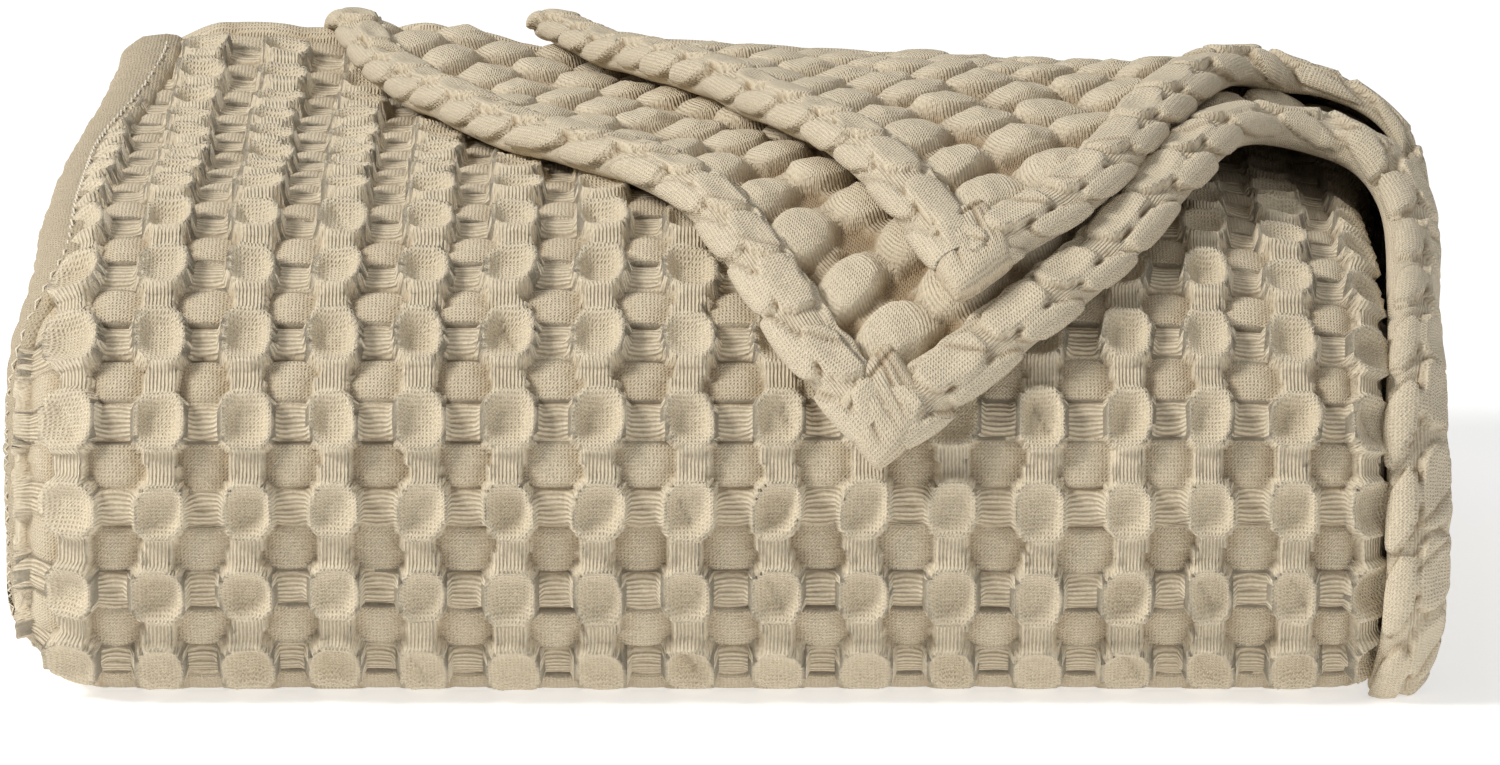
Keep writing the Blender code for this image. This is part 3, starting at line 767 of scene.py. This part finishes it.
def leftHemBand(name):
    # the puckered band along the ply's left edge, with its sewn line
    settings = {
        "around": 30,
        "step": 0.0020,
        "half": hemWidth * 0.56,
        "liftCentre": -0.0028,
        "thickness": 0.0052,
        "pucker": 0.0010,
        "tuckPitch": 0.0080,
        "stitchPitch": 0.0042,
    }
    wide, thick = flatSection(settings["around"])
    rows = np.arange(underEnd + hemWidth * 0.5, plyEnd, settings["step"])[:, None]
    centre = leftEdge(rows) + hemWidth * 0.5
    half = settings["half"]
    across = centre + half * (1 + 0.02 * waves(rows, 0 * rows, 8, 0.030)) * wide
    slanted = rows + (across - centre) * 0.9
    drift = 1.3 * waves(rows, 0 * rows, 4, 0.05)
    tucks = np.abs(np.sin(math.pi * slanted / settings["tuckPitch"] + drift)) ** 0.5
    wrinkle = 0.5 * waves(slanted, across * 2.0, 9, 0.014) + 0.9 * (tucks - 0.7)
    seamRow = np.exp(-(((wide - 0.62) * half) ** 2) / 0.0000012) * (thick > 0)
    stitches = 0.5 + 0.5 * np.cos(2 * math.pi * rows / settings["stitchPitch"])
    lift = settings["liftCentre"] + settings["thickness"] * thick
    lift = lift + settings["pucker"] * wrinkle * (thick > -0.2)
    lift = lift - 0.0005 * seamRow * (0.4 + 0.6 * stitches)
    # painted shade in the sewn groove, darkest at the stitch dimples
    return flatHem(name, across, rows + 0 * across, lift, 0.3 * seamRow * stitches, False)


def acrossBand(name, low, high, atLength, liftCentre, thickness):
    # a hem that runs across the back end of a sheet
    settings = {"step": 0.0022, "around": 26, "lumpPitch": 0.0215}
    steps = np.linspace(low, high, int((high - low) / settings["step"]))[:, None]
    wide, thick = flatSection(settings["around"])
    lump = np.abs(np.sin(math.pi * steps / settings["lumpPitch"])) ** 0.5
    taper = 0.14 + 0.86 * smooth(-0.006, 0.016, np.minimum(steps - low, high - steps))
    across = steps + 0 * wide
    length = atLength + hemWidth / 2 * wide * (0.9 + 0.1 * lump) * taper ** 0.6
    lift = liftCentre + thickness * thick * (0.82 + 0.18 * lump) * taper + bridgeLift(across, length)
    # painted shade in the troughs between the lumps
    return flatHem(name, across, length, lift, 0.5 * (1 - lump + 0 * wide), True)


def innerFold(number):
    # one bundle of doubled cloth: a soft slab whose edge shows its two folded layers
    settings = {
        "leftEnds": (-0.1800, -0.1865, -0.1860, -0.1868, -0.1795),
        "backEnds": (0.2925, 0.2975, 0.2945, 0.2960, 0.2830),
        "corner": 0.024,
        "step": 0.0022,
        "ply": 0.0070,
        "between": 0.0006,
        "rows": 41,
        "rimRows": 4,
        "rim": (0.050, 0.013),
        "bulge": 0.0125,
    }
    ply = settings["ply"]
    height = (pile["height"] - 2 * ply - 0.0030 - 4 * settings["between"]) / 5
    middle = ply + 0.0012 + (number - 1) * (height + settings["between"]) + height / 2
    left, back = settings["leftEnds"][number - 1], settings["backEnds"][number - 1]
    right = pile["rightSide"] - ply + 0.002
    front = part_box(f"inner_fold_{number}")[0][1] - pile["frontY"]
    radius = settings["corner"]
    corners = [(right - radius, front + radius, -quarter), (right - radius, back - radius, 0),
               (left + radius, back - radius, quarter), (left + radius, front + radius, 2 * quarter)]
    loop = []
    for x, y, start in corners:
        for turn in np.linspace(start, start + quarter, 14):
            loop.append((x + radius * math.cos(turn), y + radius * math.sin(turn)))
    loop = evenSteps(np.array([*loop, loop[0]]), settings["step"])[:-1]
    outward = np.roll(loop, -1, axis=0) - np.roll(loop, 1, axis=0)
    outward = unit(np.stack([outward[:, 1], -outward[:, 0]], axis=-1))
    travel = np.arange(len(loop)) * settings["step"]
    rimRows = settings["rimRows"]
    rim = np.linspace(*settings["rim"], rimRows + 1)[:-1]
    inset = np.concatenate([rim, np.zeros(settings["rows"]), rim[::-1]])
    rise = np.linspace(-1, 1, settings["rows"])
    level = np.concatenate([np.full(rimRows, -1.0), rise, np.full(rimRows, 1.0)])
    bulge = settings["bulge"] * (1 - np.sqrt(np.clip(1 - np.abs(level) ** 2.4, 0, 1)))
    inset = np.where(np.abs(level) < 1, bulge, np.maximum(inset, settings["bulge"]))
    between = bell(level, 0.10)
    cu = travel[:, None] / waffle["across"] + number * 0.37
    cv = 0.25 + level[None] * 0.9 + 0 * cu
    relief, threads, zone = waffleFace(cu + 0 * cv, cv)
    edgeZone = smooth(0, 0.25, 1 - np.abs(level))
    wander = 0.0013 * waves(travel[:, None], level[None] * 0.01, 12 + number, 0.080)
    shift = -inset - 0.0034 * between + (relief + 0.002) * 0.42 * edgeZone + wander
    shift = np.minimum(shift, 0.0008)
    x = loop[:, None, 0] + outward[:, None, 0] * shift
    y = loop[:, None, 1] + outward[:, None, 1] * shift
    z = middle + height / 2 * level + 0 * x
    points = settle(x, y, z)
    rows, columns = x.shape
    ring = np.arange(rows * columns).reshape(rows, columns)
    ring = np.concatenate([ring, ring[:1]], axis=0)
    faces = ring.ravel()[gridFaces(rows + 1, columns)]
    weave = np.stack([cu + 0 * x, cv, threads], axis=-1) * yarnScale
    # painted shade in the weave's hollows and in the groove between the two folded layers
    zone[..., 2] = np.clip(zone[..., 2] * 0.7 + between * 0.8, 0, 1)
    ends = np.array([middle - height / 2, middle + height / 2])
    centres = settle(np.full(2, (left + right) / 2), np.full(2, (front + back) / 2), ends)
    points = np.concatenate([points.reshape(-1, 3), centres])
    weave = np.concatenate([weave.reshape(-1, 3), np.zeros((2, 3))])
    zone = np.concatenate([zone.reshape(-1, 3), np.zeros((2, 3))])
    low, high = rows * columns, rows * columns + 1
    caps = []
    for k in range(0, rows - 1, 2):
        first, second, third = ((k + n) % rows * columns for n in range(3))
        caps.append([first, low, third, second])
        last = columns - 1
        caps.append([first + last, second + last, third + last, high])
    faces = np.concatenate([faces, np.array(caps)])
    obj = clothObject(f"innerFold{number}", points, faces, weave, zone)
    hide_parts(f"inner_fold_{number}")
    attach(obj, "stack")
    return obj


def threadLine(name, places, radius, cadNode):
    # a fine sewn thread, as a closed tube through its places
    sides = 6
    keepAbove(places, radius * 2)
    turn = np.linspace(0, 2 * math.pi, sides + 1)
    tangent = unit(np.gradient(places, axis=0))
    first = unit(np.cross(tangent, np.array([1.0, 0.0, 0.0])))
    second = np.cross(tangent, first)
    points = (places[:, None] + radius * first[:, None] * np.cos(turn)[:, None]
              + radius * second[:, None] * np.sin(turn)[:, None])
    along = np.repeat(np.arange(len(places))[:, None] * 1.0, sides + 1, axis=1)
    weave = np.stack([along, along * 0 + turn, along], axis=-1)
    faces = np.concatenate(tubeFaces(*along.shape))
    obj = clothObject(name, points, faces, weave, np.zeros_like(weave))
    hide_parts(cadNode)
    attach(obj, "stack")
    return obj


# shader groups shared by the cloth materials
def newGroup(name, inputs, outputs):
    # inputs maps a name to its value, or to None for a vector
    tree = bpy.data.node_groups.new(name, "ShaderNodeTree")
    for label, value in inputs.items():
        kind = "NodeSocketVector" if value is None else "NodeSocketFloat"
        socket = tree.interface.new_socket(label, in_out="INPUT", socket_type=kind)
        if value is not None:
            socket.default_value = value
    for label in outputs:
        tree.interface.new_socket(label, in_out="OUTPUT", socket_type="NodeSocketFloat")
    return tree, tree.nodes.new("NodeGroupInput"), tree.nodes.new("NodeGroupOutput")


def setInputs(node, values):
    for label, value in values.items():
        node.inputs[label].default_value = value


def addNode(tree, kind, **values):
    node = tree.nodes.new("ShaderNode" + kind)
    setInputs(node, values)
    return node


def mathNode(tree, operation, first, second=None, third=None):
    node = addNode(tree, "Math")
    node.operation = operation
    for socket, value in zip(node.inputs, (first, second, third)):
        if value is None:
            continue
        if isinstance(value, (int, float)):
            socket.default_value = value
        else:
            tree.links.new(value, socket)
    return node.outputs[0]


def mixColor(tree, factor, first, second):
    node = addNode(tree, "Mix")
    node.data_type = "RGBA"
    for socket, value in ((node.inputs[0], factor), (node.inputs[6], first), (node.inputs[7], second)):
        if isinstance(value, (int, float, tuple)):
            socket.default_value = value
        else:
            tree.links.new(value, socket)
    return node.outputs[2]


def yarnGroup():
    # plain weave, ribs and float yarns, by zone, as one height from 0 to 1, a gap mask, and the zone's
    # painted shade passed on
    tree, entry, leave = newGroup("cottonYarns", {
        "Weave": None, "Zone": None, "Yarn Pitch": 0.78, "Rib Pitch": 1.02, "Float Pitch": 0.92,
        "Float Strength": 1.0}, ["Height", "Gap", "Depth"])
    weave = addNode(tree, "SeparateXYZ")
    zone = addNode(tree, "SeparateXYZ")
    tree.links.new(entry.outputs["Weave"], weave.inputs[0])
    tree.links.new(entry.outputs["Zone"], zone.inputs[0])
    jitter = addNode(tree, "TexNoise", Scale=0.35, Detail=2)
    tree.links.new(entry.outputs["Weave"], jitter.inputs["Vector"])
    wobble = mathNode(tree, "MULTIPLY_ADD", jitter.outputs["Fac"], 1.1, -0.55)

    def wave(coordinate, pitch, strength):
        moved = mathNode(tree, "MULTIPLY_ADD", wobble, strength, coordinate)
        turns = mathNode(tree, "DIVIDE", moved, pitch)
        return mathNode(tree, "SINE", mathNode(tree, "MULTIPLY", turns, 2 * math.pi))

    def calc(operation, *values):
        return mathNode(tree, operation, *values)

    over = wave(weave.outputs[0], entry.outputs["Yarn Pitch"], 0.8)
    under = wave(weave.outputs[1], entry.outputs["Yarn Pitch"], 0.8)
    crossed = calc("MULTIPLY", over, under)
    plain = calc("MULTIPLY_ADD", crossed, 0.32, calc("MULTIPLY_ADD", over, 0.22, 0.5))
    ribs = calc("MULTIPLY_ADD", wave(weave.outputs[0], entry.outputs["Rib Pitch"], 0.3), 0.5, 0.5)
    floats = calc("MULTIPLY_ADD", wave(weave.outputs[2], entry.outputs["Float Pitch"], 0.35), 0.5, 0.5)
    ribs = calc("POWER", ribs, 0.6)
    floats = calc("POWER", floats, 0.6)
    ribShare = zone.outputs[0]
    floatShare = calc("MULTIPLY", zone.outputs[1], entry.outputs["Float Strength"])
    plainShare = calc("MAXIMUM", calc("SUBTRACT", calc("SUBTRACT", 1.0, ribShare), floatShare), 0.0)
    total = calc("MULTIPLY", plain, calc("MULTIPLY", plainShare, 0.95))
    total = calc("MULTIPLY_ADD", ribs, ribShare, total)
    total = calc("MULTIPLY_ADD", floats, floatShare, total)
    gap = 0.0
    yarnShares = ((floats, floatShare, 1.0), (ribs, ribShare, 0.7), (plain, plainShare, 0.62))
    for yarn, share, strength in yarnShares:
        missing = calc("MULTIPLY", calc("SUBTRACT", 1.0, yarn), share)
        gap = calc("MAXIMUM", gap, calc("MULTIPLY", missing, strength))
    tree.links.new(total, leave.inputs["Height"])
    tree.links.new(gap, leave.inputs["Gap"])
    tree.links.new(zone.outputs[2], leave.inputs["Depth"])
    return tree


def fuzzGroup():
    # uneven cotton: soft blotches, flecks and stray fibres
    tree, entry, leave = newGroup("cottonFuzz", {
        "Position": None, "Blotch Scale": 30.0, "Fibre Scale": 1150.0}, ["Blotch", "Fibre"])
    for label, detail in (("Blotch", 3), ("Fibre", 2)):
        noise = addNode(tree, "TexNoise", Detail=detail)
        tree.links.new(entry.outputs["Position"], noise.inputs["Vector"])
        tree.links.new(entry.outputs[label + " Scale"], noise.inputs["Scale"])
        tree.links.new(noise.outputs["Fac"], leave.inputs[label])
    return tree


yarns = yarnGroup()
fuzz = fuzzGroup()


def clothMaterial(name, settings):
    material = bpy.data.materials.new(name)
    material.use_nodes = True
    tree = material.node_tree
    shader = tree.nodes["Principled BSDF"]
    setInputs(shader, {"Roughness": 0.95, "Specular IOR Level": 0.12, "Sheen Weight": settings["sheen"],
                       "Sheen Roughness": 0.55})
    group = addNode(tree, "Group")
    group.node_tree = yarns
    setInputs(group, settings["yarn"])
    for label in ("Weave", "Zone"):
        source = addNode(tree, "Attribute")
        source.attribute_name = label.lower()
        tree.links.new(source.outputs["Vector"], group.inputs[label])
    place = addNode(tree, "TexCoord")
    cotton = addNode(tree, "Group")
    cotton.node_tree = fuzz
    tree.links.new(place.outputs["Object"], cotton.inputs["Position"])
    # painted shade: darker in the hollows of the relief and in the gaps between the yarns
    depth = mathNode(tree, "POWER", group.outputs["Depth"], settings["paintedShadePower"])
    color = mixColor(tree, depth, settings["light"], settings["deep"])
    gaps = mathNode(tree, "MULTIPLY", group.outputs["Gap"], settings["gapShade"])
    color = mixColor(tree, gaps, color, settings["gap"])
    shades = []
    for label in ("Blotch", "Fibre"):
        amount = settings[label.lower()]
        shades.append(mathNode(tree, "MULTIPLY_ADD", cotton.outputs[label], amount, 1 - amount / 2))
    strength = mathNode(tree, "MULTIPLY", *shades)
    scaled = addNode(tree, "VectorMath")
    scaled.operation = "SCALE"
    tree.links.new(color, scaled.inputs[0])
    tree.links.new(strength, scaled.inputs["Scale"])
    tree.links.new(scaled.outputs[0], shader.inputs["Base Color"])
    raised = mathNode(tree, "MULTIPLY_ADD", cotton.outputs["Fibre"], 0.80, group.outputs["Height"])
    bump = addNode(tree, "Bump", Strength=settings["bump"], Distance=settings["yarnHeight"])
    tree.links.new(raised, bump.inputs["Height"])
    tree.links.new(bump.outputs["Normal"], shader.inputs["Normal"])
    return material


cottonLook = {
    "light": (0.755, 0.660, 0.495, 1),
    # the next two colours are painted shade, in the hollows of the relief and between the yarns
    "deep": (0.300, 0.200, 0.105, 1),
    "gap": (0.360, 0.260, 0.150, 1),
    "paintedShadePower": 1.2,
    "gapShade": 0.60,
    "blotch": 0.12,
    "fibre": 0.40,
    "sheen": 0.10,
    "bump": 0.85,
    "yarnHeight": 0.00055,
    "yarn": {"Yarn Pitch": 1.04, "Rib Pitch": 1.02, "Float Pitch": 0.92, "Float Strength": 1.0},
}
faceCotton = clothMaterial("waffleFaceCotton", cottonLook)
backCotton = clothMaterial("waffleBackCotton", {
    **cottonLook, "paintedShadePower": 0.95, "gapShade": 0.45,
    "yarn": {"Yarn Pitch": 1.0, "Rib Pitch": 1.1, "Float Pitch": 1.15, "Float Strength": 0.62}})
hemCotton = clothMaterial("rolledHemCotton", {
    **cottonLook, "light": (0.735, 0.640, 0.480, 1), "paintedShadePower": 1.0, "gapShade": 0.40,
    "yarn": {"Yarn Pitch": 0.95, "Float Pitch": 0.95, "Float Strength": 0.8}})
sideHemCotton = clothMaterial("sideHemCotton", {
    **cottonLook, "light": (0.55, 0.470, 0.340, 1), "yarn": {"Yarn Pitch": 0.95}})
foldCotton = clothMaterial("foldedCotton", {**cottonLook, "light": (0.70, 0.61, 0.46, 1)})
threadCotton = clothMaterial("spunThread", {
    **cottonLook, "light": (0.80, 0.73, 0.60, 1), "gapShade": 0.0, "yarnHeight": 0.0001})


def dress(obj, material):
    obj.data.materials.clear()
    obj.data.materials.append(material)


ply, plyFlat = outerPly()
dress(ply, faceCotton)
print("outer ply made")

leftHem = leftHemBand("outerPlyLeftHem")
plyBackTop = acrossBand("outerPlyBackHemTop", -0.168, 0.172, 0.3160, -0.0012, 0.0056)
plyBackUnder = acrossBand("outerPlyBackHemUnder", -0.168, 0.170, underEnd + hemWidth / 2, -0.0042, 0.0040)
for obj, node, material in (
    (leftHem, "outer_ply_left_hem", sideHemCotton),
    (plyBackTop, "outer_ply_back_hem_top", hemCotton),
    (plyBackUnder, "outer_ply_back_hem_under", hemCotton),
):
    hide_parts(node)
    dress(obj, material)

sewing = {"start": 0.05, "end": 0.300, "stitch": 0.0021, "high": 0.0024, "low": 0.0012, "radius": 0.00032}
stitchRows = np.arange(underEnd + sewing["start"], sewing["end"], sewing["stitch"])
stitchLift = np.where(np.arange(len(stitchRows)) % 2 == 0, sewing["high"], sewing["low"])
stitchPlaces = drape(leftEdge(stitchRows) + hemWidth * 0.80, stitchRows, stitchLift)
hemThread = threadLine("outerPlyHemThread", stitchPlaces, sewing["radius"], "outer_ply_hem_thread")
dress(hemThread, threadCotton)
print("hems of the outer ply made")

for number in range(1, 6):
    dress(innerFold(number), foldCotton)
print("inner folds made")


for name, layer, step, resting in (
    ("lower", lowerLayer, 0.00150, "outerPly"),
    ("upper", upperLayer, 0.00145, "lowerSheet"),
):
    body = name + "_corner"
    main, loose = looseSheet(name, layer, step)
    for obj in (main, loose):
        dress(obj, backCotton)
    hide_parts(f"{name}_sheet_top", f"{name}_sheet_side")
    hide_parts(f"{name}_corner_sheet")
    leftCorner, leftMain = hemRopes(name, layer, "left", [f"{name}_left_hem"], 0.10)
    rightCorner, rightMain = hemRopes(name, layer, "right", [f"{name}_front_hem", f"{name}_side_hem"],
                                      layer["sideNarrowing"])
    for obj in (main, leftMain, rightMain):
        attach(obj, "stack")
    for obj in (leftCorner, rightCorner, loose):
        blendCorner(obj, layer)
    tip = cornerTip(name + "CornerTip", layer, f"{name}_corner_tip", body)
    backStart = hemAxis(layer, "left", 0.004)[-1][0] + 0.010
    backMiddle = layer["backEnd"] + hemWidth / 2 - 0.002
    backHem = acrossBand(name + "BackHem", backStart, 0.170, backMiddle, layer["lift"] - 0.0035, 0.0044)
    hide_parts(f"{name}_back_hem")
    for obj in (leftCorner, leftMain, rightCorner, rightMain, tip, backHem):
        dress(obj, hemCotton)
    print(name, "sheet made, polygons", len(main.data.polygons), len(loose.data.polygons))
print("loose sheets made")

# floor, light and camera
floorMesh = bpy.data.meshes.new("floor")
floorHalf = 6
floorCorners = [(x * floorHalf, y * floorHalf, 0) for x, y in ((-1, -1), (1, -1), (1, 1), (-1, 1))]
floorMesh.from_pydata(floorCorners, [], [(0, 1, 2, 3)])
floor = link(bpy.data.objects.new("floor", floorMesh))
floor.location.z = -0.0004  # just under the lowest yarns
floorMaterial = bpy.data.materials.new("palePaper")
floorMaterial.use_nodes = True
setInputs(floorMaterial.node_tree.nodes["Principled BSDF"], {
    "Base Color": (0.72, 0.72, 0.72, 1), "Roughness": 0.9, "Emission Color": (1, 1, 1, 1),
    "Emission Strength": 0.54})
dress(floor, floorMaterial)

world = bpy.data.worlds.new("softRoom")
world.use_nodes = True
setInputs(world.node_tree.nodes["Background"], {"Color": (1.0, 1.0, 1.0, 1), "Strength": 0.27})
bpy.context.scene.world = world

lightAim = Vector((0, 0, 0.06))
lightSettings = {
    "key": {"place": (-2.00, -1.02, 1.90), "size": 0.8, "power": 67, "color": (1.0, 0.985, 0.955)},
    "fill": {"place": (1.6, -1.6, 0.9), "size": 1.6, "power": 5, "color": (0.97, 0.985, 1.0)},
    "top": {"place": (-0.3, 0.6, 2.2), "size": 1.6, "power": 9, "color": (1.0, 1.0, 1.0)},
}
for name, light in lightSettings.items():
    lamp = bpy.data.lights.new(name + "Light", "AREA")
    lamp.size = light["size"]
    lamp.energy = light["power"]
    lamp.color = light["color"]
    obj = link(bpy.data.objects.new(name + "Light", lamp))
    obj.location = light["place"]
    obj.rotation_euler = (lightAim - Vector(light["place"])).to_track_quat("-Z", "Y").to_euler()

view = {
    "elevation": 13.0,
    "distance": 2.5,
    "lens": 220.0,
    "aim": (0.005, pile["frontY"] + 0.0073, 0.0914),
}
camera = link(bpy.data.objects.new("camera", bpy.data.cameras.new("camera")))
tilt = math.radians(view["elevation"])
camera.location = Vector(view["aim"]) + view["distance"] * Vector((0, -math.cos(tilt), math.sin(tilt)))
camera.rotation_euler = (quarter - tilt, 0, 0)
camera.data.lens = view["lens"]
camera.data.clip_end = 50
bpy.context.scene.camera = camera
bpy.context.scene.view_settings.view_transform = "Standard"
